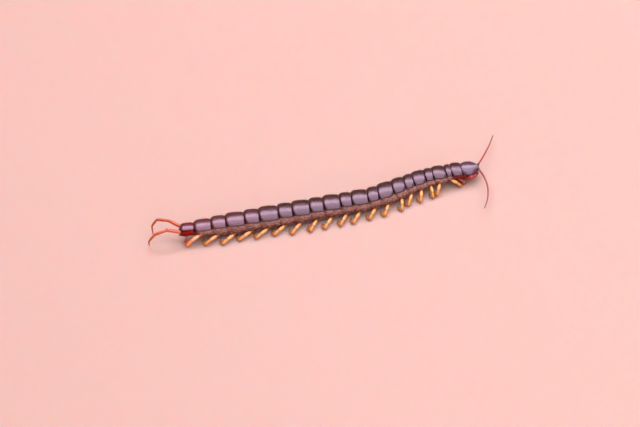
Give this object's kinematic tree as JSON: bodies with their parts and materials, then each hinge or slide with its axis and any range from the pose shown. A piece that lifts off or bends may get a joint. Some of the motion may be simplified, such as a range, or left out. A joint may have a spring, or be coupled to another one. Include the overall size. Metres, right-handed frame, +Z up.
{
  "type": "giant centipede model",
  "caption": "Life-size still giant centipede: plated trunk, walking legs, trailing hind legs, venom claws and antennae.",
  "frame": {"origin": "middle of the bounding box's underside, on the floor that the legs stand on", "axes": "+Z up, +X along the body towards the head, +Y to the animal's left"},
  "size_m": [0.213, 0.0616, 0.0124],
  "materials": {
    "back_plates": "glossy dark purple-brown shell over wrinkled satin flanks",
    "head_shield": "smooth glossy purple-brown shell",
    "legs": "glossy amber, darker at the joints and claws",
    "hind_legs": "glossy red-orange",
    "venom_claws": "glossy dark red, black at the tips",
    "antennae": "satin red, paler and finely haired towards the tips",
    "eyes": "polished black"
  },
  "bodies": {
    "root": {"head": "head_shield", "eyes_left": "eyes", "eyes_right": "eyes", "antenna_left": "antennae", "antenna_right": "antennae", "claw_plate": "venom_claws", "venom_claw_left": "venom_claws", "venom_claw_right": "venom_claws", "trunk_01_03": "back_plates", "trunk_04_06": "back_plates", "trunk_07_09": "back_plates", "trunk_10_12": "back_plates", "trunk_13_15": "back_plates", "trunk_16_18": "back_plates", "trunk_19_21": "back_plates", "leg_01_left": "legs", "leg_02_left": "legs", "leg_03_left": "legs", "leg_04_left": "legs", "leg_05_left": "legs", "leg_06_left": "legs", "leg_07_left": "legs", "leg_08_left": "legs", "leg_09_left": "legs", "leg_10_left": "legs", "leg_11_left": "legs", "leg_12_left": "legs", "leg_13_left": "legs", "leg_14_left": "legs", "leg_15_left": "legs", "leg_16_left": "legs", "leg_17_left": "legs", "leg_18_left": "legs", "leg_19_left": "legs", "leg_20_left": "legs", "leg_01_right": "legs", "leg_02_right": "legs", "leg_03_right": "legs", "leg_04_right": "legs", "leg_05_right": "legs", "leg_06_right": "legs", "leg_07_right": "legs", "leg_08_right": "legs", "leg_09_right": "legs", "leg_10_right": "legs", "leg_11_right": "legs", "leg_12_right": "legs", "leg_13_right": "legs", "leg_14_right": "legs", "leg_15_right": "legs", "leg_16_right": "legs", "leg_17_right": "legs", "leg_18_right": "legs", "leg_19_right": "legs", "leg_20_right": "legs", "hind_leg_left": "hind_legs", "hind_leg_right": "hind_legs"}
  },
  "joints": []
}
